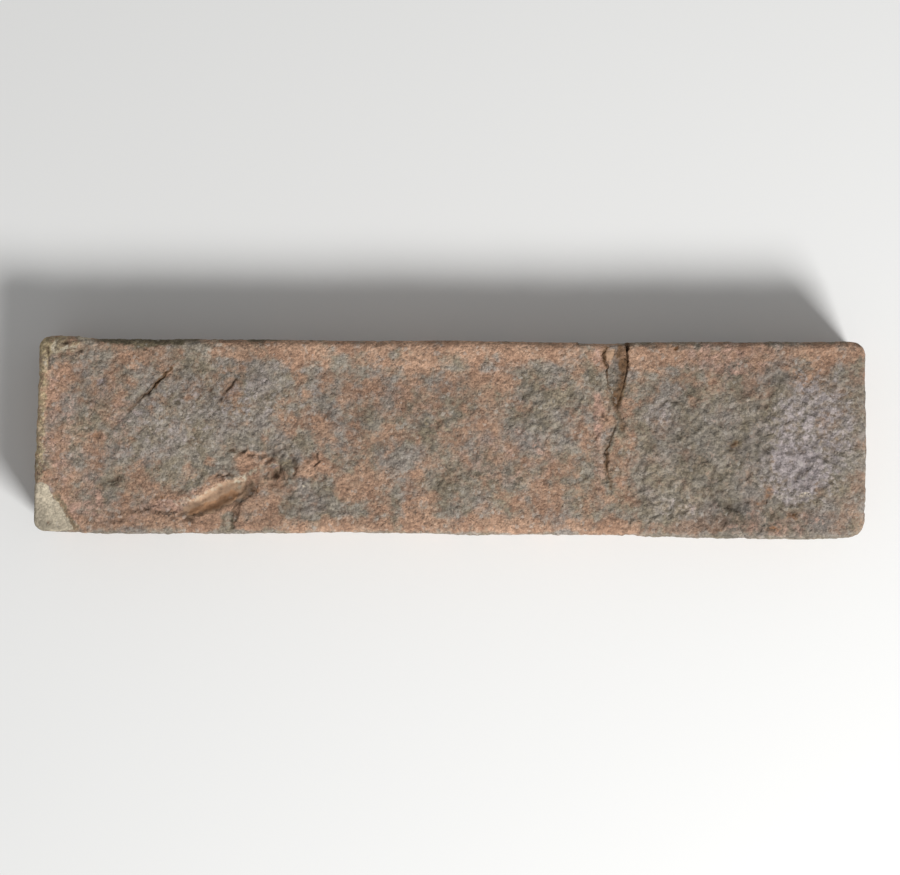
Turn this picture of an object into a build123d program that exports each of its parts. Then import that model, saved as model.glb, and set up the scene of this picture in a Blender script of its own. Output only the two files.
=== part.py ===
"""A hand-moulded thin brick: the slip sawn from the sanded face of a facing brick.

+X runs along the length, +Y up the face as it stands in a wall, and +Z out of the wall.
The origin is the middle of the sawn back, which lies flat on Z = 0.
"""

from build123d import *
import os
from math import atan2, cos, degrees, pi, sqrt

# Driving dimensions of the slip, in millimetres
face_length = 210.0
face_height = 50.0
slip_thickness = 22.0

# Outline: a clot of clay thrown into a mould never fills it quite square.
# Each long side draws in to a waist, whose place is measured from the left end.
top_waist = 0.6
top_waist_place = 128.0
bottom_waist = 0.9
bottom_waist_place = 88.0
waist_radius = 3000.0
left_end_lean = 1.2
right_end_bow = 0.4
bow_radius = 600.0

# Corners: the upper left one is a small lip, and the lower ones ease up from the bottom side
upper_left_radius = 3.6
upper_left_lip = 9.0
lip_slope_length = 7.0
lip_radius = 50.0
lower_left_radius = 3.0
lower_left_ease = 20.0
lower_left_rise = 0.4
upper_right_radius = 3.6
lower_right_radius = 4.5
lower_right_ease = 14.0
lower_right_rise = 0.9
ease_radius = 90.0

# Face: a low crown, a slow swell, and an arris rounded by sand and handling
face_crown = 0.7
swell_height = 0.5
swell_length = 84.0
arris_radius = 2.2

# Drying cracks, each pointed at both ends, with a width for every place between them. A place
# is its distance from the left end and its distance below the top arris.
# The main crack opens at the top arris and closes on the face, and its branch runs on below.
main_crack_places = [
    (149.3, -8.0),
    (149.0, 0.0),
    (149.6, 7.0),
    (148.1, 11.0),
    (147.3, 15.6),
    (147.5, 18.6),
    (148.4, 23.0),
]
main_crack_widths = [1.3, 0.7, 0.9, 0.9, 0.5]
main_crack_depth = 2.4
branch_crack_places = [
    (146.6, 21.2),
    (145.8, 24.4),
    (144.2, 27.6),
    (144.6, 32.4),
    (145.4, 37.6),
]
branch_crack_widths = [0.4, 0.5, 0.4]
branch_crack_depth = 0.9

# A hair crack across the left of the face, and the edge of the flap round a buried pebble
hair_crack_places = [
    (34.8, 8.2),
    (32.4, 10.8),
    (30.3, 13.0),
    (28.4, 14.6),
    (26.3, 16.8),
    (24.4, 18.8),
]
hair_crack_widths = [0.5, 0.4, 0.6, 0.3]
hair_crack_depth = 0.8
flap_edge_places = [
    (144.2, 2.2),
    (143.6, 4.0),
    (144.1, 5.6),
    (144.8, 7.2),
    (144.4, 9.6),
    (145.2, 13.4),
]
flap_edge_widths = [0.6, 0.6, 0.4, 0.4]
flap_edge_depth = 0.7
pebble_place = (145.3, 4.0)
pebble_width = 2.8
pebble_height = 0.4

# How much of its width a crack keeps at its floor
crack_floor_share = 0.2

# Notch in the top arris, where the flap of clay beside the main crack sits back
notch_start = 136.8
notch_end = 149.4
notch_depth = 1.0
notch_reach = 9.0

# Gouge dragged by the moulder's fingers, the shallow mark where it began, and the furrow from
# it to the bottom arris. Places from here on are the distance from the left end and the height
# above the bottom arris.
gouge_start = (36.8, 5.2)
gouge_end = (54.6, 13.8)
gouge_width = 5.2
gouge_depth = 1.3
drag_start = (29.6, 7.0)
drag_end = (42.4, 7.8)
drag_width = 3.6
drag_depth = 0.5
furrow_start = (52.4, 10.4)
furrow_end = (48.4, -2.0)
furrow_width = 2.6
furrow_depth = 0.7

# Spalled lower left corner: a flat break from this line down to the corner
spall_upper = (3.4, 14.4)
spall_lower = (11.4, 0.6)
spall_drop = 1.7

# Lump of clay that was pushed up past the end of the gouge
lump_place = (64.5, 17.0)
lump_width = 4.8
lump_height = 0.5

# Dents left by lumps of moulding sand: place, width and depth
dents = [
    ((69.9, 20.0), 3.6, 0.4),
    ((61.2, 15.4), 2.6, 0.6),
    ((20.5, 13.7), 3.6, 0.4),
    ((101.7, 28.4), 3.2, 0.35),
    ((176.8, 24.0), 6.0, 0.5),
    ((177.5, 8.8), 7.5, 0.55),
]

# How far the cutting shapes stand out of the brick
overrun = 4.0

half_length = face_length / 2
half_height = face_height / 2

# Turning points of the outline, anticlockwise from the lower left, each with its radius
outline_turns = [
    ((-half_length, lower_left_rise - half_height), lower_left_radius),
    ((lower_left_ease - half_length, -half_height), ease_radius),
    ((bottom_waist_place - half_length, bottom_waist - half_height), waist_radius),
    ((half_length - lower_right_ease, -half_height), ease_radius),
    ((half_length - right_end_bow, lower_right_rise - half_height), lower_right_radius),
    ((half_length, 0), bow_radius),
    ((half_length - right_end_bow, half_height), upper_right_radius),
    ((top_waist_place - half_length, half_height - top_waist), waist_radius),
    ((upper_left_lip + lip_slope_length - half_length, half_height - top_waist), lip_radius),
    ((upper_left_lip - half_length, half_height), lip_radius),
    ((left_end_lean - half_length, half_height), upper_left_radius),
]


def face_level(x, y):
    """Height of the moulded face above the sawn back: the full thickness at the middle."""
    crown = face_crown * ((x / half_length) ** 4 + (y / half_height) ** 2) / 2
    swell = swell_height * (1 - cos(2 * pi * x / swell_length) * cos(pi * y / face_height)) / 2
    return slip_thickness - crown - swell


def below_top(place):
    """A place on the face, given from the left end and down from the top arris."""
    x, y = place[0] - half_length, half_height - place[1]
    return Vector(x, y, face_level(x, y))


def above_bottom(place):
    """A place on the face, given from the left end and up from the bottom arris."""
    x, y = place[0] - half_length, place[1] - half_height
    return Vector(x, y, face_level(x, y))


def moulded_face():
    """The crowned and swelling face, as one smooth surface that overruns the outline."""
    columns, rows = 25, 9
    reach_x, reach_y = half_length + overrun, half_height + overrun
    grid = []
    for i in range(columns):
        x = reach_x * (2 * i / (columns - 1) - 1)
        heights = [reach_y * (2 * j / (rows - 1) - 1) for j in range(rows)]
        grid.append([(x, y, face_level(x, y)) for y in heights])
    return Face.make_surface_from_array_of_points(grid, tol=0.02, min_deg=3, max_deg=5)


def crack_outline(points, widths):
    """A crack seen from the front: pointed at both ends, and this wide at each inner point."""
    left, right = [], []
    for before, here, after, width in zip(points, points[1:], points[2:], widths):
        along = (after - before).normalized()
        aside = Vector(-along.Y, along.X) * (width / 2)
        left.append((here.X + aside.X, here.Y + aside.Y))
        right.append((here.X - aside.X, here.Y - aside.Y))
    tip, tail = points[0], points[-1]
    return [(tip.X, tip.Y), *left, (tail.X, tail.Y), *reversed(right)]


def cut_crack(places, widths, depth):
    """Cuts a crack whose walls close in, from its widths at the face to a narrow floor."""
    points = [below_top(place) for place in places]
    floor_level = min(point.Z for point in points[1:]) - depth
    floor_widths = [crack_floor_share * width for width in widths]
    sections = []
    for level, level_widths in ((slip_thickness, widths), (floor_level, floor_widths)):
        with BuildSketch(Plane.XY.offset(level)) as section:
            with BuildLine():
                Polyline(*crack_outline(points, level_widths), close=True)
            make_face()
        sections.append(section.sketch)
    loft(sections, ruled=True, mode=Mode.SUBTRACT)


def cut_scoop(start, end, width, depth):
    """Cuts a boat-shaped hollow of this width and depth from one place to the other."""
    low, high = above_bottom(start), above_bottom(end)
    radius = (width**2 / 4 + depth**2) / (2 * depth)
    rise = radius - depth
    half_spindle = (high - low).length / 2 / sqrt(1 - rise / radius)
    middle = (low + high) / 2 + Vector(0, 0, rise)
    along = (high - low).normalized()
    with BuildSketch(Plane(middle, x_dir=along, z_dir=along.cross(Vector(0, 0, 1)))) as profile:
        with BuildLine():
            Line((half_spindle, 0), (-half_spindle, 0))
            ThreePointArc((-half_spindle, 0), (0, radius), (half_spindle, 0))
        make_face()
    revolve(profile.sketch, axis=Axis(middle, along), mode=Mode.SUBTRACT)


def add_lump(point, width, height):
    """Lets a round lump of this width and height stand out of the face."""
    radius = (width**2 / 4 + height**2) / (2 * height)
    with Locations(point - Vector(0, 0, radius - height)):
        Sphere(radius, rotation=(90, 0, 0))


def cut_dent(point, width, depth):
    """Presses a round dent of this width and depth into the face."""
    radius = (width**2 / 4 + depth**2) / (2 * depth)
    with Locations(point + Vector(0, 0, radius - depth)):
        Sphere(radius, rotation=(90, 0, 0), mode=Mode.SUBTRACT)


with BuildPart() as thin_brick:
    # The outline of the face, which the slip keeps all the way back to the saw cut
    with BuildSketch():
        with BuildLine():
            turning_points, radii = zip(*outline_turns)
            FilletPolyline(*turning_points, radius=radii, close=True)
        make_face()
    extrude(amount=slip_thickness + overrun)

    # The moulded face and its rounded arris
    split(bisect_by=moulded_face(), keep=Keep.BOTTOM)
    fillet(thin_brick.faces().sort_by(Axis.Z)[-1].edges(), radius=arris_radius)

    # The pebble and the lump, and the flap that sits back from the top arris
    add_lump(below_top(pebble_place), pebble_width, pebble_height)
    add_lump(above_bottom(lump_place), lump_width, lump_height)
    with BuildSketch(Plane.XY.offset(slip_thickness)):
        with Locations((notch_start - half_length, half_height - top_waist - notch_depth)):
            Rectangle(notch_end - notch_start, notch_depth + overrun, align=Align.MIN)
    notch_slope = degrees(atan2(notch_depth, notch_reach))
    extrude(amount=-notch_reach, taper=notch_slope, mode=Mode.SUBTRACT)

    # The cracks
    cut_crack(main_crack_places, main_crack_widths, main_crack_depth)
    cut_crack(branch_crack_places, branch_crack_widths, branch_crack_depth)
    cut_crack(hair_crack_places, hair_crack_widths, hair_crack_depth)
    cut_crack(flap_edge_places, flap_edge_widths, flap_edge_depth)

    # The gouge, its drag mark and furrow, and the dents
    cut_scoop(drag_start, drag_end, drag_width, drag_depth)
    cut_scoop(gouge_start, gouge_end, gouge_width, gouge_depth)
    cut_scoop(furrow_start, furrow_end, furrow_width, furrow_depth)
    for place, width, depth in dents:
        cut_dent(above_bottom(place), width, depth)

    # The spalled corner
    upper_end, lower_end = above_bottom(spall_upper), above_bottom(spall_lower)
    dropped_corner = above_bottom((0, 0)) - Vector(0, 0, spall_drop)
    break_line = lower_end - upper_end
    facing_out = (dropped_corner - upper_end).cross(break_line)
    split(bisect_by=Plane(upper_end, x_dir=break_line, z_dir=facing_out), keep=Keep.BOTTOM)

thin_brick.part.label = "thin_brick"
os.makedirs("parts", exist_ok=True)
export_step(thin_brick.part, "parts/thin_brick.step")
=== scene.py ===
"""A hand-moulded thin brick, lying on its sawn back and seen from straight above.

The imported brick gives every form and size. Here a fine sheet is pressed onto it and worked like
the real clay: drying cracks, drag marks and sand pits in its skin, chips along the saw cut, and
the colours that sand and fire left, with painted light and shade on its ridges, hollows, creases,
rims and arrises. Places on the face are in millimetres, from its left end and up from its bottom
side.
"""

from math import cos, radians, sin

import bmesh
import bpy
import numpy as np
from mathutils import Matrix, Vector, noise
from mathutils.bvhtree import BVHTree


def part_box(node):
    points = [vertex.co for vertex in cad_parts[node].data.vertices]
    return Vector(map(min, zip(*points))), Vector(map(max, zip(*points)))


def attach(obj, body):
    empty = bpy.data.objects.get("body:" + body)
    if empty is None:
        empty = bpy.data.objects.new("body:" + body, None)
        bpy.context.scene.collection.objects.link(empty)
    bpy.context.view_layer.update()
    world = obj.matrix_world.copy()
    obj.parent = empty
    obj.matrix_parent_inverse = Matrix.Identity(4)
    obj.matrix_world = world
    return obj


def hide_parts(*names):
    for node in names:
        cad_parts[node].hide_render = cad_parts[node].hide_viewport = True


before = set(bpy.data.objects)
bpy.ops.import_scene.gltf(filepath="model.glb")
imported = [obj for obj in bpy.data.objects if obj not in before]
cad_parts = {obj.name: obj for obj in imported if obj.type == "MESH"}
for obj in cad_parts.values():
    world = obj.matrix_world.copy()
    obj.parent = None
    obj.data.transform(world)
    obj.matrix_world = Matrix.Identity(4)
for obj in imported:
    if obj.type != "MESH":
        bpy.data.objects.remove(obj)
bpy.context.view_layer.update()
brick_low, brick_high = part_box("thin_brick")

mm = 0.001
touching = 0.001 * mm

# The clay sheet: its cells on the face, then its rows round the arris, down the plain sides and
# through the height that the saw can chip
face_cell = 0.44 * mm
arris_inset = 4.0 * mm
arris_rows = 8
side_rows = 10
chip_height = 1.2 * mm
chip_rows = 3

# Pressing the sheet on: how far out it starts, how near the face's edge its marks stop wavering,
# and how steeply down it has to be pressed for dirt to fill a crack. The dirt reaches this many
# mm from the crack's line, and its level comes from the banks on both sides.
press_start = 3 * arris_inset
steady_edge = 3.0 * mm
steep_enough = 0.9
dirt_reach = 0.9
bank_distance = 1.1 * mm

# Random hills: how far each seed is moved on, and how the heights and sizes of smaller hills fall
seed_step = Vector((17.3, 5.1, 9.7))
hill_fading = 0.9
hill_ratio = 2.0

# Relief of the skin in mm: the height of each kind of mark, and the size of its hills
waver, waver_size = 0.6, 6.0
fine_waver, fine_waver_size = 0.5, 1.7
swell, swell_size = 0.30, 24
lump_height, lump_size = 0.16, 5
wrinkle_height, wrinkle_size = 0.20, 1.5
wrinkle_turn = 52
wrinkle_stretch = (1.7, 1.0, 1.2)
grit_height, grit_size = 0.18, 1.0
fold_depth, fold_size = 0.22, 9
fold_field_size = 17
fold_edge = (0.93, 1.0)
fold_field_edge = (0.0, 0.3)
crust_height = 0.12
skin_drop = 0.25

# Chips and wear along the saw cut in mm, where hills of this size rise past a start
chip_depth = 1.8
chip_size = 3.4
chip_start = 0.12
saw_wear = 0.12
at_the_back = 0.01

# How rough the skin is where it is bare, how much the sand adds, and the share left on the sides
bare_roughness = 0.55
sand_roughness = 0.65
side_roughness = 0.55

# Pits and grains scattered over the face: how many, seed, width and depth, which is below
# nothing for grains, and the least share of the width and the depth
scattered_pits = (200, 3, 1.1, 0.28)
scattered_grains = (260, 4, 1.3, -0.20)
least_width = 0.5
least_depth = 0.4

# How the width of a crease varies along it, and how far off its lip stands, in widths
ragged_size = 2.4
narrowest = 0.5
lip_place = 2.2

# Heights above the back in mm between which each thing comes in, on the way up the sides
sand_rise = (4, 16)
paint_rise = (8, 19)
mark_rise = (12, 18)
dirt_rise = (14, 19)
roughness_rise = (17, 21)

# How far in mm the edge of the paint wavers on the sides, and the clouds in its tone
paint_waver, paint_waver_size = 4, 7
tone_clouds, tone_cloud_size = 0.08, 13
# The height of the relief, painted as light on the ridges and as shade in the hollows
painted_ridge_gain = 1.2

# A patch is whole within the first of these shares of its reach and gone past the second, and a
# stroke or a crack's dirt is whole and gone at these shares of its width
patch_fade = (0.55, 1.35)
stroke_fade = (0.5, 1.6)
crack_fade = (0.3, 1.5)

# The cracks of the solid: how wide the dirt spreads in mm, some heights up the face, how much of
# the depth is still open at each of them, and the line
closed_crack_dirt = 0.42
cracks = {
    "main crack": (
        0.74,
        (32, 39, 46),
        (0.06, 0.14, 0.34),
        [(149.0, 50), (149.6, 43), (148.1, 39), (147.3, 34.4), (147.5, 31.4), (148.4, 27)],
    ),
    "branch crack": (
        0.32,
        (14, 18, 22, 26),
        (0.22, 0.40, 0.45, 0.14),
        [(146.6, 28.8), (145.8, 25.6), (144.2, 22.4), (144.6, 17.6), (145.4, 12.4)],
    ),
    "hair crack": (
        0.36,
        (34, 38),
        (0.12, 0.80),
        [(34.8, 41.8), (32.4, 39.2), (30.3, 37), (28.4, 35.4), (26.3, 33.2), (24.4, 31.2)],
    ),
    "flap edge": (
        0.34,
        (39, 44),
        (0.20, 0.90),
        [(144.2, 47.8), (143.6, 46), (144.1, 44.4), (144.8, 42.8), (144.4, 40.4), (145.2, 36.6)],
    ),
}

# The solid's other marks. The spall slopes down from its edge, which lies at this level. It is
# pale within its reach and below a height on the face, and fades at its borders.
gouge = [(36.8, 5.2), (54.6, 13.8)]
drag_mark = [(29.6, 7.0), (42.4, 7.8)]
furrow = [(52.4, 10.4), (48.4, -2.0)]
spall_edge = [(3.4, 14.4), (11.4, 0.6)]
spall_top_level = 21.4
spall_slope = 0.17
spall_reach = 13
spall_border = (-0.2, 0.8)
spall_skin = (-1.1, -0.5)
spall_tip = (-0.5, 0.5)
pale_spall_height = 12.6
spall_strength = 0.9

# Creases in the skin: width, depth, height of the lip on the left of the line, dirt and line. The
# dirt is partly real dirt and partly painted shade in the crease.
creases = [
    (0.40, 0.20, 0.05, 0.35, [(24.4, 31.2), (22.8, 29.0), (20.6, 27.2)]),
    (0.45, 0.25, 0.15, 0.30, [(35.6, 41.4), (38.5, 40.4), (40.2, 38.9), (43.4, 37.3), (47.4, 34.2)]),
    (0.62, 0.45, 0.05, 0.80, [(50.9, 39.3), (49.9, 38.0), (48.8, 36.6)]),
    (0.40, 0.20, 0.00, 0.45, [(48.4, 35.8), (47.7, 34.2)]),
    (0.35, 0.25, 0.00, 0.40, [(31.8, 43.6), (30.6, 42.0)]),
    (0.35, 0.25, 0.05, 0.50, [(37.3, 34.6), (37.1, 33.0)]),
    (0.30, 0.20, 0.00, 0.40, [(35.4, 35.2), (33.8, 34.8)]),
    (0.34, 0.34, 0.05, 0.78, [(3.5, 46.8), (3.7, 44.8), (4.1, 43.2), (4.2, 41.4)]),
    (0.40, 0.35, 0.20, 0.42, [(5.8, 47.6), (5.6, 46.3), (6.9, 45.5), (9.5, 45.3), (11.6, 46), (12.3, 47)]),
    (0.35, 0.25, 0.10, 0.22, [(6.4, 48.6), (8.4, 48.4), (10.4, 48.8)]),
    (0.50, 0.25, 0.00, 0.70, [(19.4, 13.6), (22.2, 14.1)]),
    (0.50, 0.20, 0.15, 0.20, [(13.0, 3.4), (17.6, 3.0), (23.8, 3.9)]),
    (0.50, 0.20, 0.15, 0.20, [(16.0, 6.1), (21.6, 5.4), (26.8, 6.3)]),
    (0.45, 0.15, 0.15, 0.15, [(18.4, 1.8), (24.8, 2.2), (31.0, 2.0)]),
    (0.40, 0.20, 0.05, 0.25, [(21.4, 23.1), (24.2, 25.2)]),
    (0.36, 0.30, 0.15, 0.52, [(28.4, 6.7), (30.5, 6.1), (33.0, 5.8), (35.8, 5.6)]),
    (0.50, 0.00, 0.30, 0.00, [(29.0, 4.8), (33.0, 6.6), (36.6, 6.9)]),
    (0.50, 0.25, 0.00, 0.40, [(35.2, 4.4), (36.8, 3.8)]),
    (0.36, 0.25, 0.10, 0.50, [(33.2, 10.8), (35.4, 11.2), (36.8, 11.0), (38.6, 11.5)]),
    (0.34, 0.35, 0.00, 0.80, [(46.4, 14.8), (48.6, 15.1), (50.8, 14.9)]),
    (0.40, 0.25, 0.10, 0.48, [(50.6, 19.4), (52.4, 20.6), (54.2, 20.9)]),
    (0.40, 0.30, 0.10, 0.50, [(59.2, 16.4), (58.4, 15.2), (59.6, 14.0)]),
    (0.40, 0.30, 0.00, 0.60, [(62.3, 17.2), (63.0, 15.6), (62.4, 13.9)]),
    (0.45, 0.25, 0.20, 0.35, [(55.6, 14.6), (58.2, 13.2), (61.0, 13.3)]),
    (0.50, 0.00, 0.25, 0.00, [(43.3, 10.6), (46.5, 12.3), (49.5, 13.8), (51.8, 14.6)]),
    (0.45, 0.25, 0.00, 0.40, [(40.6, 4.9), (43.6, 5.8), (46.1, 6.9), (48.0, 7.8), (50.0, 9.3)]),
    (0.50, 0.30, 0.00, 0.60, [(38.6, 4.0), (40.4, 4.6), (42.4, 5.2)]),
    (0.80, 0.35, 0.00, 0.70, [(54.9, 12.6), (55.1, 11.4), (54.3, 10.2)]),
    (0.60, 0.30, 0.00, 0.60, [(53.0, 9.3), (51.6, 8.9), (50.9, 7.4), (50.6, 5.4)]),
    (0.40, 0.15, 0.00, 0.25, [(50.6, 5.0), (50.2, 3.0), (50.3, 1.0)]),
    (0.40, 0.20, 0.00, 0.35, [(49.4, 6.0), (48.4, 3.6), (48.0, 1.2)]),
    (0.36, 0.30, 0.15, 0.55, [(49.8, 21.6), (51.4, 21.0), (53.9, 20.9)]),
    (
        0.42,
        0.35,
        0.20,
        0.60,
        [(54.9, 19.9), (56.8, 19.7), (58.4, 20.2), (60.9, 21.3), (62.9, 22.1), (64.4, 22.2)],
    ),
    (0.40, 0.35, 0.05, 0.55, [(58.4, 18.2), (59.2, 19.2), (60.1, 20.0)]),
    (0.40, 0.50, 0.00, 0.70, [(65.3, 20.0), (66.2, 18.6), (66.5, 16.6), (65.5, 15.0)]),
    (0.40, 0.40, 0.00, 0.50, [(62.6, 20.2), (61.9, 18.8), (62.2, 17.6)]),
    (0.50, 0.30, 0.00, 0.50, [(59.6, 12.4), (61.6, 12.9), (62.9, 13.2), (64.5, 13.5)]),
    (0.32, 0.30, 0.15, 0.52, [(70.1, 22.4), (71.1, 21.4), (71.4, 19.8), (71.9, 18.6), (70.9, 17.3)]),
    (0.32, 0.30, 0.00, 0.52, [(68.9, 21.8), (68.5, 20.1), (69.1, 18.9)]),
    (0.45, 0.30, 0.20, 0.35, [(64.4, 7.8), (67.9, 6.9), (71.4, 7.7), (75.4, 5.8), (80.6, 6.4)]),
    (0.40, 0.30, 0.10, 0.30, [(66.4, 10.4), (68.6, 9.6), (70.8, 10.8), (70.0, 12.6)]),
    (0.45, 0.30, 0.15, 0.35, [(88.6, 24.4), (90.6, 25.8), (93.2, 25.9)]),
    (0.45, 0.30, 0.15, 0.35, [(103.6, 12.0), (105.6, 14.6), (110.4, 17.2)]),
    (0.35, 0.20, 0.10, 0.35, [(145.2, 36.6), (145.9, 34.6)]),
    (0.30, 0.35, 0.05, 0.75, [(143.1, 30.9), (143.8, 30.2), (144.6, 29.7)]),
    (0.34, 0.30, 0.00, 0.50, [(147.0, 28.8), (146.4, 27.8), (145.9, 25.9), (145.0, 25.0)]),
    (0.30, 0.25, 0.00, 0.50, [(148.4, 27.4), (148.6, 25.6)]),
    (0.50, 0.20, 0.00, 0.15, [(141.3, 35.2), (140.6, 26.0), (141.6, 17.0)]),
    (0.50, 0.30, 0.20, 0.25, [(155.6, 32.8), (159.5, 35.0), (163.4, 33.2)]),
    (0.45, 0.30, 0.20, 0.30, [(150.6, 8.4), (152.4, 10.2), (155.8, 9.0), (160.4, 9.2), (163.4, 8.0)]),
    (0.40, 0.30, 0.10, 0.30, [(149.0, 1.3), (150.8, 5.2)]),
    (0.45, 0.30, 0.10, 0.30, [(152.6, 20.4), (154.2, 22.6), (154.4, 25.4)]),
    (0.50, 0.35, 0.15, 0.35, [(171.2, 18.6), (170.6, 13.4), (171.4, 9.2)]),
    (0.45, 0.25, 0.05, 0.40, [(186.2, 6.4), (185.0, 2.3)]),
    (0.50, 0.35, 0.05, 0.45, [(184.4, 39.6), (185.8, 41.8)]),
    (0.45, 0.25, 0.10, 0.45, [(189.3, 8.6), (191.6, 8.8), (193.7, 8.4)]),
]

# Pits and bumps: place, width, depth and dirt, where a bump's depth is below nothing. The dirt
# is partly real dirt and partly painted shade in the pit.
pits = [
    (61.3, 15.7, 2.2, 0.55, 0.90),
    (60.9, 17.9, 0.8, 0.30, 0.60),
    (62.6, 16.4, 0.9, 0.30, 0.70),
    (44.4, 36.6, 1.2, 0.40, 1.00),
    (31.2, 9.5, 1.1, 0.50, 0.95),
    (40.0, 3.8, 1.7, 0.50, 0.75),
    (55.1, 11.7, 1.6, 0.30, 0.50),
    (64.4, 14.8, 1.0, 0.30, 0.60),
    (66.7, 18.7, 0.8, 0.20, 0.50),
    (69.9, 20.2, 1.0, 0.20, 0.50),
    (73.1, 21.1, 0.8, 0.20, 0.50),
    (47.3, 11.3, 1.2, 0.20, 0.35),
    (42.4, 15.0, 0.9, 0.25, 0.60),
    (47.4, 33.9, 1.3, 0.40, 1.00),
    (49.0, 34.1, 1.2, 0.40, 1.00),
    (46.2, 35.0, 0.8, 0.20, 0.45),
    (28.7, 35.9, 1.3, 0.35, 0.95),
    (28.2, 35.3, 1.0, 0.35, 0.90),
    (26.5, 40.4, 0.9, 0.25, 0.55),
    (23.7, 38.7, 0.8, 0.20, 0.50),
    (20.0, 43.3, 0.8, 0.25, 0.70),
    (28.2, 46.6, 1.0, 0.20, 0.50),
    (8.4, 48.3, 1.0, 0.40, 1.00),
    (11.7, 46.2, 0.9, 0.30, 0.80),
    (5.4, 47.0, 1.6, -0.25, 0),
    (10.6, 49.0, 2.2, -0.25, 0),
    (9.3, 43.9, 0.9, 0.20, 0.40),
    (16.3, 48.0, 0.9, 0.25, 0.60),
    (2.0, 16.3, 1.4, 0.25, 0.60),
    (27.8, 7.8, 0.9, 0.25, 0.70),
    (16.5, 24.4, 1.6, 0.30, 0.60),
    (9.8, 28.2, 1.4, 0.20, 0.40),
    (87.4, 23.2, 1.6, 0.45, 0.65),
    (97.2, 28.2, 2.0, 0.25, 0.35),
    (101.8, 28.9, 2.2, 0.30, 0.45),
    (89.5, 44.9, 1.4, 0.25, 0.30),
    (86.7, 48.5, 1.6, 0.35, 0.40),
    (92.8, 3.0, 1.2, 0.35, 0.60),
    (87.0, 5.3, 1.2, 0.30, 0.60),
    (141.7, 25.1, 0.8, 0.30, 0.70),
    (144.2, 20.8, 1.0, 0.30, 0.40),
    (140.4, 35.2, 1.4, 0.30, 0.55),
    (154.2, 34.9, 1.0, 0.25, 0.50),
    (161.7, 47.6, 0.8, 0.35, 0.90),
    (176.4, 23.4, 2.4, 0.30, 0.45),
    (182.3, 26.3, 2.0, 0.30, 0.30),
    (184.0, 22.9, 2.0, 0.30, 0.30),
    (175.3, 8.4, 2.0, 0.35, 0.50),
    (179.4, 9.4, 1.8, 0.35, 0.45),
    (190.8, 6.5, 2.0, 0.25, 0.20),
    (179.6, 27.4, 3.0, -0.28, 0),
    (173.0, 26.8, 2.6, -0.22, 0),
    (135.6, 47.8, 2.6, -0.30, 0),
    (161.6, 4.6, 3.0, -0.28, 0),
    (8.8, 46.8, 3.0, -0.25, 0),
    (60.8, 17.4, 2.4, -0.35, 0),
    (56.8, 15.4, 3.2, -0.25, 0),
    (59.0, 13.6, 2.2, -0.20, 0),
    (36.4, 7.8, 2.6, -0.30, 0),
    (33.6, 7.6, 2.0, -0.25, 0),
    (39.2, 8.6, 1.8, -0.20, 0),
    (142.4, 29.0, 2.0, -0.25, 0),
    (142.9, 24.6, 2.4, -0.25, 0),
    (142.6, 38.6, 2.4, -0.20, 0),
]

# Where the sheet is finer: the lines, how near them in mm, and the cuts across each cell. A
# crease counts where it has more than this much dirt.
dark_crease = 0.5
finer_places = [
    ([gouge, drag_mark, furrow, spall_edge], 1.4, 1),
    ([line for *_, dirt, line in creases if dirt > dark_crease], 0.7, 1),
    ([line for *_, line in cracks.values()], 1.0, 2),
]

# Rough patches, where the moulding sand lay thick: place, reach along and up, turn and strength
rough_patches = [
    (178, 20, 26, 22, 30, 0.80),
    (195, 24, 12, 18, 0, 0.30),
    (129, 33, 12, 12, 10, 0.80),
    (66, 18, 14, 8, -10, 0.40),
    (156, 12, 14, 8, 0, 0.40),
    (142.6, 30, 2.6, 16, 3, 0.40),
    (96, 44, 46, 8, 0, -0.25),
    (159, 44, 10, 6, 0, -0.25),
    (46.4, 9.8, 9.0, 3.6, 29, -1.00),
    (64.5, 17.0, 2.6, 2.6, 0, -0.90),
    (145.3, 46, 1.8, 1.8, 0, -0.90),
    (4, 4, 7, 8, -30, -0.60),
    (44.5, 3.4, 4.0, 1.8, 10, -0.60),
    (49.0, 3.2, 1.5, 4.0, -8, -0.60),
    (55.5, 15.8, 3.0, 1.6, 30, -0.50),
    (98, 44, 5, 4, 0, -0.30),
]
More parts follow.
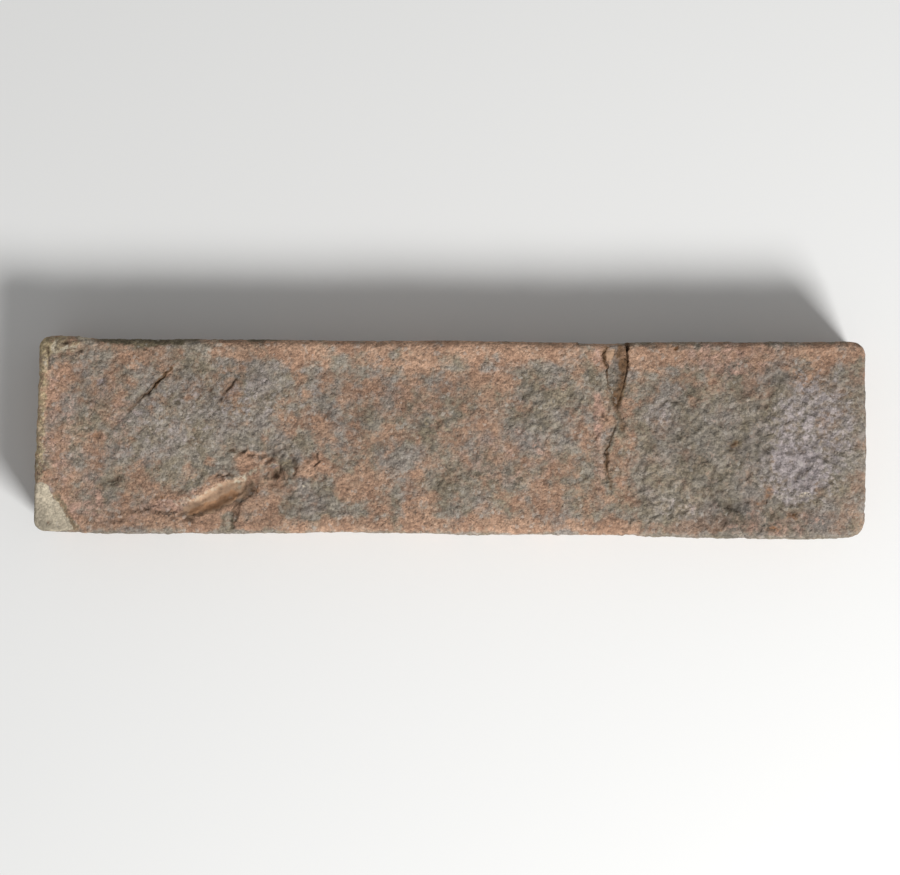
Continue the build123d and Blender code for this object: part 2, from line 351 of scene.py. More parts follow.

# The moulding sand's even cover, how far hills of this size in mm raise or lower it, and from
# which cover to which its crust grows. The patches add more or less sand in the same way, and one
# strip along the bottom arris is painted shade that darkens the arris facing the lamp.
sand_cover = 0.52
sand_scatter = 0.55
sand_size = 5
crust_edge = (-0.15, 1.15)
sand_and_arris_shade_patches = [
    (96, 46.5, 46, 4.0, 0, -0.40),
    (78.5, 44.4, 4.2, 1.6, 25, 0.40),
    (93.5, 45.6, 4.4, 1.8, 0, 0.36),
    (105.2, 43.8, 3.6, 1.8, 0, 0.42),
    (119, 43.6, 8, 2.6, 10, 0.22),
    (111.5, 38.6, 7, 4.0, 0, -0.28),
    (99, 43.4, 3.0, 2.4, 0, -0.20),
    (82.5, 38, 4.4, 1.8, 10, -0.24),
    (92.5, 36, 2.4, 4.2, 10, -0.24),
    (100, 2.8, 90, 2.2, 0, -0.34),
    # Painted shade: a strip of sand along the bottom arris, darkening the arris that faces the lamp
    (100, -0.4, 106, 1.9, 0, 0.50),
    (5, 26, 4, 20, 0, -0.16),
    (7.4, 41.2, 2.6, 1.6, 0, -0.45),
    (153.4, 45, 4.4, 3.6, -8, -0.50),
    (164, 46, 6, 3, 0, -0.30),
    (150.6, 33.8, 2.8, 1.2, 0, -0.42),
    (152.5, 38.5, 3.5, 2.4, 0, -0.20),
    (45.2, 18.6, 2.2, 1.2, 0, -0.40),
    (54, 19.2, 2.6, 1.5, 15, -0.45),
    (60, 13.6, 5, 1.8, 20, -0.26),
    (80.5, 13, 4.6, 3.8, 30, -0.34),
    (95.7, 15.4, 2.8, 2.2, 0, -0.34),
    (117.5, 11.5, 2.2, 1.8, 0, -0.36),
    (38, 2.6, 9, 2.6, 0, -0.16),
    (44.5, 3.4, 4.2, 2.0, 10, -0.45),
    (46.4, 9.8, 10.5, 4.6, 29, -0.30),
    (45.2, 13.3, 4.4, 1.6, 27, -0.46),
    (47.6, 6.4, 3.6, 1.2, 26, -0.40),
    (14, 20, 11, 14, 0, 0.16),
    (57, 19, 4, 2, 20, -0.30),
    (64.2, 17.8, 2.4, 2.6, 0, 0.50),
    (69.5, 16.5, 3.6, 2.4, 20, -0.34),
    (56.8, 6.4, 6, 3.4, 0, -0.22),
    (48.2, 41.4, 2.0, 0.7, 0, -0.42),
    (52.6, 41.6, 2.4, 0.9, 8, -0.42),
    (33.9, 40.6, 1.2, 0.6, 45, -0.40),
    (31.2, 37.3, 1.3, 0.5, 45, -0.40),
    (24.5, 44.2, 3.0, 1.2, 0, -0.36),
    (25.6, 41.9, 1.8, 0.7, 0, -0.36),
    (38.8, 34.0, 1.0, 0.9, 0, -0.36),
    (175, 47, 12, 3.6, 0, -0.20),
    (200, 46.6, 9, 3.6, 0, -0.34),
    (173, 3.0, 11, 3.0, 0, -0.30),
    (127, 29, 8, 8, 10, 0.14),
    (104, 18, 14, 7, 0, 0.12),
    (49.2, 3.2, 1.5, 4.0, -8, 0.55),
    (52.2, 9.4, 1.4, 0.8, 0, 0.50),
    (43, 31, 29, 15, 0, 0.24),
    (73, 9, 11, 4.4, -10, 0.26),
    (130.5, 36, 10.5, 9, 10, 0.36),
    (62.5, 22.6, 8, 2.6, 4, 0.30),
    (169, 20, 18, 19, 0, 0.30),
    (180, 20, 24, 20, 0, 0.14),
    (154, 9, 9, 6, 0, 0.22),
    (196, 24, 12, 18, 0, 0.24),
    (186, 1.6, 24, 2.4, 0, 0.24),
    (146.8, 36, 1.8, 9, 0, 0.30),
]

# What each other colour covers, in the same way
paints = {
    "umber": [
        (183, 18, 29, 23, 0, 1.0),
        (160, 16, 10, 16, 0, 0.6),
        (205, 36, 8, 9, 0, 0.6),
    ],
    "earth": [
        (146.9, 40.5, 1.6, 7.0, -6, 0.16),
        (53.9, 10.9, 1.5, 1.7, 20, 0.44),
    ],
    "rose": [
        (142.2, 31, 1.6, 7, 0, 0.62),
        (142.5, 18, 1.8, 8, 2, 0.45),
        (142, 46, 1.8, 2.4, 8, 0.50),
        (35, 7.6, 6, 2.2, 4, 0.50),
        (42, 11.4, 3.4, 1.0, 20, 0.40),
        (20, 30, 9, 12, 0, 0.28),
        (12, 12, 8, 8, 0, 0.28),
        (175, 46, 14, 6, 0, 0.42),
        (6, 30, 5, 16, 0, 0.36),
        (20, 6, 12, 4, 0, 0.30),
        (93, 34, 14, 6, 0, 0.24),
        (120, 20, 16, 8, 0, 0.28),
        (187, 4, 16, 4, 0, 0.34),
        (170, 24, 18, 20, 0, 0.15),
    ],
    "lilac": [
        (196, 26, 12, 17, -8, 0.50),
        (190, 16, 9, 8, 30, 0.28),
        (162, 8, 6, 3, 0, 0.30),
        (157.5, 31, 4, 4.4, 10, 0.30),
        (38, 30, 20, 10, 20, 0.22),
        (17.4, 38.4, 1.6, 1.2, 0, 0.45),
        (60, 36, 14, 8, 0, 0.16),
        (60.8, 17.8, 1.4, 1.2, 0, 0.60),
        (3.4, 11, 2.4, 1.8, 0, 0.42),
    ],
    "olive": [
        (1.8, 33, 2.1, 26, -2, 0.58),
        (6.5, 47.8, 6.5, 3.0, 0, 0.50),
        (1.6, 5, 2.2, 6, 0, 0.52),
        (4.4, 1.4, 5.4, 1.6, 0, 0.50),
        (147.6, 36, 1.0, 3.6, -10, 0.50),
        (176.4, 23.4, 2.4, 1.6, 20, 0.45),
        (132, 30, 8, 8, 0, 0.18),
        (101, 27, 6, 4, 0, 0.28),
        (57.5, 13.6, 4, 1.6, 10, 0.26),
        (64.2, 17.4, 2.0, 2.2, 0, 0.36),
        (52.8, 11.6, 1.4, 2.0, 20, 0.45),
    ],
    # Soot, and painted shade: the dark band along the top arris, which faces away from the lamp, and the
    # shaded bottom-left corner
    "soot": [
        (29, 49.4, 12, 2.0, -1, 0.85),
        (28, 47.2, 3.6, 1.2, 20, 0.42),
        (21.6, 48.3, 4.6, 1.3, -12, 0.50),
        (16.6, 48.6, 1.8, 1.2, 0, 0.40),
        (62, 50.2, 34, 1.3, 0, 0.66),
        (130, 50.0, 50, 1.1, 0, 0.56),
        (189, 50.2, 20, 1.0, 0, 0.40),
        (177, 23, 5, 3.0, 20, 0.22),
        (176.5, 12, 6, 4, 0, 0.20),
        (187.5, 40, 4, 2.4, 0, 0.20),
        (61.6, 15.8, 2.6, 1.8, 0, 0.40),
        (70, 9, 6, 2.6, -10, 0.20),
        (55.2, 11.4, 1.8, 1.8, 20, 0.34),
        (41, 13.4, 1.8, 1.2, 0, 0.40),
        (39.4, 3.6, 2.2, 1.1, 15, 0.36),
        (2.4, 0.6, 5, 1.4, 0, 0.36),
    ],
    # Pale clay, and painted highlight on the lit lip at the top left
    "pale": [
        (51.2, 12.3, 2.4, 1.3, 25, 0.34),
        (12.6, 49.2, 2.2, 0.7, 0, 0.62),
        (63.4, 26.4, 9, 2.2, 8, 0.24),
        (68.9, 12.7, 1.2, 0.6, 45, 0.45),
        (187.6, 6, 1.4, 1.2, 0, 0.42),
        (194, 11, 2.4, 1.0, 0, 0.36),
    ],
    "bare": [
        (46.2, 9.4, 9.2, 3.0, 27, 1.0),
        (145.3, 46, 1.3, 1.5, 0, 1.0),
    ],
    "rust": [
        (185.0, 11.6, 1.8, 2.2, 10, 0.42),
        (190.8, 5.8, 1.6, 1.2, 0, 0.48),
        (183.0, 9.0, 1.8, 0.8, 0, 0.46),
        (186.8, 2.7, 2.4, 0.8, 0, 0.48),
        (176.2, 23.6, 1.8, 0.8, 20, 0.46),
        (172, 2.4, 1.6, 0.6, 0, 0.40),
        (161.7, 47.6, 0.6, 0.6, 0, 0.70),
        (16.5, 24.8, 1.6, 1.2, 0, 0.40),
        (32.6, 9.4, 0.7, 0.6, 0, 0.60),
        (56.2, 11.2, 1.4, 1.4, 20, 0.48),
        (141.9, 25.2, 0.9, 0.9, 0, 0.44),
    ],
}

# Broad lighter and darker zones of the face, which multiply its colour. Some are the clay's own tone;
# others are painted light and shade: light on the left arris, shade on the spall's lower left, shadow
# on the flap left of the main crack, shade on the lump's lower side, and light and shade by the gouge.
tones_and_painted_light = [
    (157.5, 31, 4.6, 5.4, 0, 0.08),
    (162, 8, 5.4, 2.4, 0, 0.12),
    (179.5, 22.6, 6.4, 4.4, 0, -0.14),
    (178, 24, 32, 26, 0, -0.10),
    (177, 12, 8.4, 6.8, 0, -0.12),
    (187.5, 40, 5, 3.2, 0, -0.10),
    (184, 2.5, 27, 5.0, 0, -0.08),
    (203, 38, 8, 8, 0, -0.10),
    (202, 46.6, 9, 3.6, 0, 0.10),
    (112, 1.6, 34, 2.6, 0, 0.10),
    (49.2, 3.4, 1.2, 3.6, -8, 0.12),
    # Painted light on the left arris
    (2.4, 34, 1.8, 18, -2, 0.30),
    (5.0, 9.0, 1.8, 4.0, 30, 0.14),
    # Painted shade on the lower left of the spall
    (1.6, 3.0, 3.0, 3.8, 0, -0.26),
    (30, 0.2, 24, 1.4, 0, -0.06),
    (98, 46, 46, 5, 0, 0.26),
    (156, 45, 8, 5, 0, 0.15),
    (6, 25, 7, 24, 0, 0.20),
    (40, 30, 26, 15, 0, 0.07),
    # Painted shadow on the flap left of the main crack, and painted shade on the lump's lower side
    (146.6, 40, 1.9, 7.5, -4, -0.14),
    (65.2, 16.2, 1.9, 2.3, 0, -0.34),
    (64.2, 19.4, 2.0, 1.2, 0, 0.08),
    # Painted shade on the gouge's lower wall and end, and painted light beside it
    (39.6, 6.6, 3.2, 1.6, 26, -0.32),
    (52.6, 9.7, 1.7, 0.9, 25, -0.28),
    (46.8, 6.0, 3.4, 1.0, 26, 0.16),
    (3.6, 10.6, 2.8, 2.4, 0, 0.14),
    (7.2, 7.0, 1.4, 3.0, 35, -0.10),
    (6.0, 4.4, 2.6, 1.8, -20, 0.08),
    (12, 24, 14, 26, 0, -0.04),
    (70, 9, 9, 5, 0, -0.06),
    (129, 30, 9, 12, 0, -0.03),
    (92, 30, 8, 9, 0, -0.05),
]

# Colours and tones laid along a line: width, strength and line
strokes = {
    "pale": [
        # Painted highlight, partly pale clay, along the gouge's upper rim, which faces the lamp
        (0.90, 0.38, [(36.5, 8.6), (40.0, 8.8), (42.6, 10.0), (46.0, 11.9), (49.4, 13.6), (52.8, 14.4)]),
        (0.80, 0.42, [(53.6, 15.0), (55.4, 16.0), (57.8, 17.2)]),
        (0.70, 0.58, [(5.6, 47.9), (4.9, 46.9), (5.6, 45.9), (7.4, 45.9)]),
        (0.70, 0.50, [(8.4, 46.5), (10.4, 46.6), (11.6, 47.4)]),
        (0.45, 0.45, [(59.6, 17.8), (60.4, 18.6), (61.6, 18.4)]),
    ],
    "rust": [
        (0.40, 0.40, [(36.9, 12.8), (38.8, 12.9)]),
    ],
    "earth": [
        (1.40, 0.50, [(148.0, 50.5), (148.2, 46.6), (148.8, 43.4)]),
        (1.15, 0.64, [(148.8, 43.4), (148.2, 40.8), (147.4, 37.6), (146.9, 34.2)]),
        (0.80, 0.42, [(147.2, 34.2), (147.4, 31.6), (148.4, 27.8)]),
        (0.70, 0.42, [(144.4, 25.0), (144.2, 23.0), (144.5, 17.0)]),
        (0.60, 0.40, [(33.4, 40.2), (31.6, 38.3), (30.3, 37.0)]),
        # These two strokes are partly painted shade, on the shaded sides of the round pebble by the flap
        # edge
        (0.60, 0.50, [(144.2, 47.8), (143.5, 46), (144.1, 44.2)]),
        (0.80, 0.46, [(147.2, 47.8), (147.4, 46.2)]),
    ],
    "tone_and_painted_light": [
        # Painted highlight on the gouge's lit upper rim, and painted shade on its lower walls
        (0.70, 0.26, [(38.0, 8.4), (42.6, 9.9), (46.0, 11.8), (49.4, 13.5), (52.8, 14.4)]),
        (0.85, -0.22, [(41.6, 8.3), (43.6, 9.5), (47.6, 11.4), (50.2, 12.7)]),
        (0.90, -0.16, [(41.0, 5.4), (43.8, 6.4), (46.6, 7.7), (49.0, 9.0)]),
    ],
    "amber": [
        (1.00, 0.80, [(40.6, 5.7), (43.8, 6.8), (46.6, 8.1), (49.0, 9.4), (50.8, 10.5)]),
    ],
    "olive": [
        (0.80, 0.50, [(5.8, 9.6), (8.6, 5.4), (11.0, 1.6)]),
    ],
    "soot": [
        # The first stroke is a painted shadow at the step along the spall's edge
        (0.50, 0.46, [(5.4, 11.6), (8.0, 7.2), (9.6, 4.4), (11.2, 1.4)]),
        (0.60, 0.42, [(51.6, 8.4), (50.6, 5.6), (50.2, 1.6)]),
    ],
}

# Colours of the fired clay and of what burnt onto it, as they look in plain light. The soot, earth
# and dirt colours also serve as painted shade, and the pale one as painted highlight, in some places.
clay_colour = (0.392, 0.248, 0.168, 1)
deep_clay_colour = (0.318, 0.190, 0.126, 1)
sand_colour = (0.232, 0.204, 0.166, 1)
olive_sand_colour = (0.200, 0.168, 0.122, 1)
grey_sand_colour = (0.234, 0.204, 0.184, 1)
lilac_colour = (0.298, 0.260, 0.256, 1)
rose_colour = (0.352, 0.222, 0.170, 1)
# Soot, also used as painted shade
soot_and_shade_colour = (0.122, 0.100, 0.064, 1)
# Pale clay, also used as painted highlight
pale_and_highlight_colour = (0.432, 0.374, 0.282, 1)
rust_colour = (0.225, 0.104, 0.042, 1)
olive_colour = (0.310, 0.246, 0.150, 1)
bare_colour = (0.405, 0.264, 0.171, 1)
amber_colour = (0.420, 0.234, 0.128, 1)
umber_colour = (0.275, 0.192, 0.142, 1)
crack_colour = (0.110, 0.060, 0.028, 1)
# Earth in the cracks, also used as painted shade by the pebble
earth_and_shade_colour = (0.140, 0.080, 0.042, 1)
# Dirt, also used as painted shade in creases, pits and pores
dirt_and_shade_colour = (0.066, 0.038, 0.021, 1)
core_colour = (0.385, 0.205, 0.125, 1)
core_dark_colour = (0.270, 0.150, 0.100, 1)
light_grain_colour = (0.480, 0.440, 0.390, 1)
dark_grain_colour = (0.090, 0.072, 0.058, 1)
floor_colour = (0.80, 0.80, 0.79, 1)

# How much of the sand's grain is gone where the clay lies bare or broken
smoothing = {"bare": 0.7, "pale": 0.35}

# Colours laid over the clay and its sand, in their order: the size in mm of the islands at their
# ragged edges, how far the edges stray and how soft they are
layers = [
    ("rose", rose_colour, 3.0, 1.4, 0.30),
    ("lilac", lilac_colour, 2.4, 1.8, 0.34),
    ("olive", olive_colour, 2.4, 1.2, 0.30),
    ("soot", soot_and_shade_colour, 3.0, 1.2, 0.28),
    ("bare", bare_colour, 2.0, 1.0, 0.30),
    ("amber", amber_colour, 2.0, 0.5, 0.30),
    ("pale", pale_and_highlight_colour, 3.0, 1.0, 0.24),
    ("rust", rust_colour, 1.6, 0.8, 0.30),
    ("earth", earth_and_shade_colour, 1.4, 1.3, 0.50),
]

# Sand grains in mm, how far they break up the edge of a colour, and the depth of their bump
coarse_grain = 0.85
fine_grain = 0.45
cut_grain = 1.1
grain_nudge = 0.12
sanded_bump = 0.16 * mm
sawn_bump = 0.08 * mm

# Between which shades the grains, the ridges and the cut grains vary, and the gloss of each skin.
# The ridges' shades are painted light and shade: lighter on the high spots, darker in the hollows.
grain_shades = (0.65, 1.35)
painted_ridge_shades = (0.84, 1.16)
cut_grain_shades = (0.86, 1.12)
sanded_roughness = (0.82, 0.96)
plain_roughness = 0.9
clay_shine = 0.3

# The saw's arcs on the back: their centre in metres and how close they lie
blade_centre = (0.02, -0.19, 0)
blade_rings = 95.0

# Floor, light and camera, in metres, watts and degrees
floor_reach = 3
floor_gap = 0.02 * mm
lamp_size = 0.35
lamp_power = 13.5
lamp_turn = -52
lamp_rise = 40
lamp_distance = 1.1
surround_strength = 0.34
brick_share_of_view = 0.93
lens_length = 100.0
sensor_width = 36.0
camera_roll = 0.45


def smooth_step(low, high, value):
    """A smooth rise from 0 at the low bound to 1 at the high one."""
    share = np.clip((value - low) / (high - low), 0, 1)
    return share * share * (3 - 2 * share)


def rolling(places, size, seed, octaves=2):
    """A smooth random height from about -1 to 1 at each place, with hills of this size in mm."""
    shift = seed_step * seed
    points = places / size
    return np.array([noise.fractal(Vector(p) + shift, hill_fading, hill_ratio, octaves) for p in points])


def wander(places):
    """How far, in mm, the marks on the clay waver from their drawn lines, along and up."""
    ways = []
    for seed in (1, 3):
        wide = waver * rolling(places, waver_size, seed)
        ways.append(wide + fine_waver * rolling(places, fine_waver_size, seed + 1))
    return np.stack(ways, axis=1)


def measure_line(places, line):
    """Distance in mm from each place to a line, positive on the left of its course."""
    nearest = np.full(len(places), np.inf)
    signed = np.full(len(places), np.inf)
    for start, end in zip(line, line[1:]):
        along = np.subtract(end, start)
        gap = places - start
        share = np.clip(gap @ along / (along @ along), 0, 1)
        gap = gap - share[:, None] * along
        length = np.hypot(gap[:, 0], gap[:, 1])
        side = np.where(along[0] * gap[:, 1] < along[1] * gap[:, 0], -1, 1)
        closer = length < nearest
        signed = np.where(closer, side * length, signed)
        nearest = np.minimum(nearest, length)
    return signed


def lay_patches(flat, patches):
    """How strongly some patches together cover each place."""
    cover = np.zeros(len(flat))
    for x, y, along, up, turn, strength in patches:
        c, s = cos(radians(turn)), sin(radians(turn))
        dx, dy = flat[:, 0] - x, flat[:, 1] - y
        reach = np.hypot((dx * c + dy * s) / along, (dy * c - dx * s) / up)
        cover += strength * (1 - smooth_step(*patch_fade, reach))
    return cover


def in_face_mm(points):
    """Points of the row frame as millimetres from the left end, the bottom side and the back."""
    return (np.array(points) - brick_low) / mm


def clay_sheet():
    """A flat sheet over the face, finer along its marks, drawn down in rows to the sawn edge."""
    size = brick_high - brick_low
    middle = (brick_low + brick_high) / 2
    bm = bmesh.new()
    columns, rows = round(size.x / face_cell), round(size.y / face_cell)
    bmesh.ops.create_grid(bm, x_segments=columns, y_segments=rows, size=1)
    bmesh.ops.scale(bm, vec=(size.x / 2, size.y / 2, 1), verts=bm.verts)
    bmesh.ops.translate(bm, vec=(middle.x, middle.y, brick_high.z), verts=bm.verts)
    for lines, reach, cuts in finer_places:
        centres = in_face_mm([face.calc_center_median() for face in bm.faces])[:, :2]
        gaps = np.min([np.abs(measure_line(centres, line)) for line in lines], axis=0)
        for face, gap in zip(bm.faces, gaps):
            face.tag = bool(gap < reach)
        near = [edge for edge in bm.edges if any(face.tag for face in edge.link_faces)]
        bmesh.ops.subdivide_edges(bm, edges=near, cuts=cuts, use_grid_fill=True)
    plain_side = size.z - arris_inset - chip_height
    steps = [arris_inset / arris_rows] * arris_rows
    steps += [plain_side / side_rows] * side_rows
    steps += [chip_height / chip_rows] * chip_rows
    for step in steps:
        rim = [edge for edge in bm.edges if edge.is_boundary]
        drawn = bmesh.ops.extrude_edge_only(bm, edges=rim)["geom"]
        row = [part for part in drawn if isinstance(part, bmesh.types.BMVert)]
        bmesh.ops.translate(bm, vec=(0, 0, -step), verts=row)
    return bm


def open_share(flat):
    """How much of a crack's depth stays open at each place, where the rest is filled with dirt."""
    share = np.ones(len(flat))
    for _, heights, open_shares, line in cracks.values():
        near = np.abs(measure_line(flat, line)) < dirt_reach
        share = np.where(near, np.interp(flat[:, 1], heights, open_shares), share)
    return share


def press_onto_solid(bm):
    """Presses the sheet onto the CAD solid, and returns which way is outward at each vertex."""
    solid = bmesh.new()
    solid.from_mesh(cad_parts["thin_brick"].data)
    bmesh.ops.remove_doubles(solid, verts=solid.verts, dist=touching)
    skin = BVHTree.FromBMesh(solid)
    # The sheet is pressed towards a core that goes on far below the back, so that the sides are
    # pressed level
    core_low = np.array(brick_low) + (arris_inset, arris_inset, -1)
    core_high = np.array(brick_high) - arris_inset
    points = np.array([vert.co for vert in bm.verts])
    core = np.clip(points, core_low, core_high)
    outward = points - core
    outward /= np.linalg.norm(outward, axis=1)[:, None]
    inside = np.minimum(points - core_low, core_high - points)[:, :2]
    shift = np.zeros_like(points)
    shift[:, :2] = wander(in_face_mm(points)) * mm * smooth_step(0, steady_edge, inside)
    starts = core + shift + outward * press_start
    shares = open_share(in_face_mm(points + shift)[:, :2])
    aside = Vector((bank_distance, 0, 0))
    for vert, start, out, moved, share in zip(bm.verts, starts, outward, shift, shares):
        inward = -Vector(out)
        hit = skin.ray_cast(start, inward)[0] or skin.find_nearest(start)[0]
        if share < 1 and inward.z < -steep_enough:
            banks = [skin.ray_cast(Vector(start) + step, inward)[0] for step in (aside, -aside)]
            if all(banks):
                level = (banks[0].z + banks[1].z) / 2
                hit.z = max(hit.z, level - share * (level - hit.z))
        vert.co = hit - Vector(moved)
    solid.free()
    return outward


def ragged_width(places):
    """How much wider or narrower a crease is drawn at each place than its own width."""
    return np.maximum(1 + rolling(places, ragged_size, seed=12), narrowest)


def measure_creases(flat, ragged):
    """Each crease's depth, lip and dirt, with how many of its widths away from it each place is."""
    for width, depth, lip, dirt, line in creases:
        yield depth, lip, dirt, measure_line(flat, line) / (width * ragged)


def measure_pits(flat):
    """Each pit's depth and dirt, with its round hollow: 1 in its middle and 0 away from it."""
    for x, y, width, depth, dirt in pits:
        away = ((flat - (x, y)) ** 2).sum(axis=1)
        yield depth, dirt, np.exp(-away / (width / 2) ** 2)


def sand_crust(places, flat):
    """How much moulding sand burnt onto each place, from bare clay at 0 to a full crust at 1."""
    cover = lay_patches(flat, sand_and_arris_shade_patches) * smooth_step(*sand_rise, places[:, 2])
    cover = sand_cover + cover + sand_scatter * rolling(places, sand_size, seed=13, octaves=4)
    return smooth_step(*crust_edge, cover)


def sandy_lumps(places, flat):
    """Height in mm of the lumps and diagonal wrinkles that the sanded mould left, at each place."""
    crust = sand_crust(places, flat)
    rough = bare_roughness + sand_roughness * crust + lay_patches(flat, rough_patches)
    face_share = smooth_step(*roughness_rise, places[:, 2])
    rough *= side_roughness + (1 - side_roughness) * face_share
    turn = radians(wrinkle_turn)
    course = np.array([[cos(turn), sin(turn), 0], [-sin(turn), cos(turn), 0], [0, 0, 1]])
    drawn = places @ course.T / wrinkle_stretch
    relief = lump_height * rolling(places, lump_size, seed=6)
    relief += wrinkle_height * rolling(drawn, wrinkle_size, seed=7)
    relief += grit_height * rolling(places, grit_size, seed=8, octaves=1)
    folds = 1 - np.abs(rolling(places, fold_size, seed=9, octaves=3))
    fields = smooth_step(*fold_field_edge, rolling(places, fold_field_size, seed=10))
    relief -= fold_depth * smooth_step(*fold_edge, folds) * fields
    return np.maximum(rough, 0) * (relief + crust_height * crust)


def skin_relief(places):
    """Height in mm of the clay's own skin over the smooth solid, at places on the face in mm."""
    flat = places[:, :2] + wander(places)
    marks = np.zeros(len(places))
    for depth, lip, _, gap in measure_creases(flat, ragged_width(places)):
        marks -= depth * np.exp(-(gap**2))
        marks += lip * np.exp(-((gap - lip_place) ** 2))
    for depth, _, hollow in measure_pits(flat):
        marks -= depth * hollow
    marks *= smooth_step(*mark_rise, places[:, 2])
    return swell * rolling(places, swell_size, seed=5) + sandy_lumps(places, flat) + marks - skin_drop


def scatter_pits(places, count, seed, width, depth):
    """Relief in mm of small round pits scattered at random over the face."""
    scatter = np.random.default_rng(seed)
    relief = np.zeros(len(places))
    span = in_face_mm([brick_high])[0]
    for x, y, size, share in scatter.random((count, 4)):
        radius = width * (least_width + size) / 2
        near = np.hypot(places[:, 0] - x * span[0], places[:, 1] - y * span[1]) / radius
        relief -= depth * (least_depth + share) * np.exp(-(near**2))
    return relief


def chipping(places):
    """How deep in mm the saw broke and wore the clay away, along the edge of the sawn back."""
    chips = chip_depth * np.maximum(0, rolling(places, chip_size, seed=11, octaves=3) - chip_start)
    low_down = 1 - np.clip(places[:, 2] / (chip_height / mm), 0, 1)
    return chips * low_down + saw_wear * (places[:, 2] < at_the_back)


def work_the_skin(bm, outward):
    """Gives the pressed sheet its relief, without leaving the CAD box or the level of the back."""
    points = np.array([vert.co for vert in bm.verts])
    places = in_face_mm(points)
    relief = skin_relief(places) + scatter_pits(places, *scattered_pits)
    relief += scatter_pits(places, *scattered_grains) - chipping(places)
    push = outward * (relief * mm)[:, None]
    push[places[:, 2] < at_the_back, 2] = 0
    for vert, point in zip(bm.verts, np.clip(points + push, brick_low, brick_high)):
        vert.co = point


def close_sawn_back(bm):
    """Closes the back with a flat sawn face, and keeps the sawn edge sharp."""
    rim = [edge for edge in bm.edges if edge.is_boundary]
    for edge in rim:
        edge.smooth = False
    bmesh.ops.triangle_fill(bm, edges=rim, normal=(0, 0, -1), use_beauty=True)
    bmesh.ops.recalc_face_normals(bm, faces=bm.faces)
    for face in bm.faces:
        face.smooth = True
        sawn = all(vert.co.z < brick_low.z + touching for vert in face.verts)
        face.material_index = 1 if sawn else 0


def broken_clay(places, flat):
    """Cover of the bare pale clay where the corner spalled off."""
    inward = -measure_line(flat, spall_edge)
    over_break = places[:, 2] - (spall_top_level - spall_slope * inward)
    cover = smooth_step(*spall_border, inward) * smooth_step(*spall_skin, over_break)
    cover *= flat[:, 0] < spall_reach
    return cover * smooth_step(*spall_tip, pale_spall_height - flat[:, 1])


def paint(name, flat):
    """How strongly the patches and strokes of one colour cover each place."""
    cover = lay_patches(flat, paints.get(name, ()))
    for width, strength, line in strokes.get(name, ()):
        gap = np.abs(measure_line(flat, line)) / width
        cover += strength * (1 - smooth_step(*stroke_fade, gap))
    return cover


def crack_dirt(flat, ragged):
    """How dark the earth in the cracks is at each place, darkest where they stand open."""
    cover = np.zeros(len(flat))
    for width, heights, open_shares, line in cracks.values():
        gap = np.abs(measure_line(flat, line)) / (width * ragged)
        dirt = closed_crack_dirt + np.interp(flat[:, 1], heights, open_shares)
        cover = np.maximum(cover, dirt * (1 - smooth_step(*crack_fade, gap)))
    return cover


def crease_dirt_and_shade(flat, ragged):
    """How dark the dirt and painted shade in the creases and pits is at each place."""
    cover = np.zeros(len(flat))
    for _, _, dirt, gap in measure_creases(flat, ragged):
        cover = np.maximum(cover, dirt * np.exp(-(gap**2)))
    for _, dirt, hollow in measure_pits(flat):
        cover = np.maximum(cover, dirt * hollow)
    return cover


def paint_clay(mesh):
    """Writes each colour's cover as an attribute, which the materials then give a ragged edge."""
    places = in_face_mm([vert.co for vert in mesh.vertices])
    flat = places[:, :2] + wander(places)
    ragged = ragged_width(places)
    edge = paint_waver * rolling(places, paint_waver_size, seed=15)
    near_face = smooth_step(*paint_rise, places[:, 2] + edge)
    near_dirt = smooth_step(*dirt_rise, places[:, 2])
    covers = {name: paint(name, flat) * near_face for name in {**paints, **strokes}}
    covers["sand"] = sand_crust(places, flat)
    covers["pale"] = np.maximum(covers["pale"], spall_strength * broken_clay(places, flat))
    covers["crack"] = crack_dirt(flat, ragged) * near_dirt
    # Dirt and painted shade in the creases and pits
    covers["dirt"] = crease_dirt_and_shade(flat, ragged) * near_dirt
    # Painted light and shade from the relief: lighter on ridges, darker in hollows
    covers["ridge_light_and_hollow_shade"] = 0.5 + painted_ridge_gain * sandy_lumps(places, flat)
    # Tone: painted light and shade in zones and strokes, with random clouds of the clay's own tone
    covers["tone_and_painted_light"] = 0.5 + (covers["tone_and_painted_light"] + lay_patches(flat, tones_and_painted_light)) / 2
    covers["tone_and_painted_light"] += tone_clouds * rolling(places, tone_cloud_size, seed=14)
    for name, cover in covers.items():
        attribute = mesh.attributes.new(name, "FLOAT", "POINT")
        attribute.data.foreach_set("value", np.clip(cover, 0, 1).astype(np.float32))


def add(tree, kind, values=(), **settings):
    """Adds a node, sets its options, and fills its sockets with constants or other outputs."""
    made = tree.nodes.new(kind)
    for name, value in settings.items():
        setattr(made, name, value)
    for socket, value in dict(values).items():
        if isinstance(value, bpy.types.NodeSocket):
            tree.links.new(value, made.inputs[socket])
        else:
            made.inputs[socket].default_value = value
    return made


def calculate(tree, operation, first, second=0.0, clamp=False):
    """One sum, difference, product or share of two values."""
    values = {0: first, 1: second}
    return add(tree, "ShaderNodeMath", values, operation=operation, use_clamp=clamp).outputs[0]


def add_up(tree, *weighted):
    """The sum of some values, each times its weight."""
    total = 0.0
    for value, weight in weighted:
        values = {0: value, 1: weight, 2: total}
        total = add(tree, "ShaderNodeMath", values, operation="MULTIPLY_ADD").outputs[0]
    return total


def read(tree, name):
    """The value of one painted attribute."""
    return add(tree, "ShaderNodeAttribute", attribute_name=name).outputs["Fac"]


def mix_colours(tree, share, first, second, blend="MIX"):
    """The first colour, with this share of the second one laid over it."""
    values = {0: share, 6: first, 7: second}
    return add(tree, "ShaderNodeMix", values, data_type="RGBA", blend_type=blend).outputs[2]


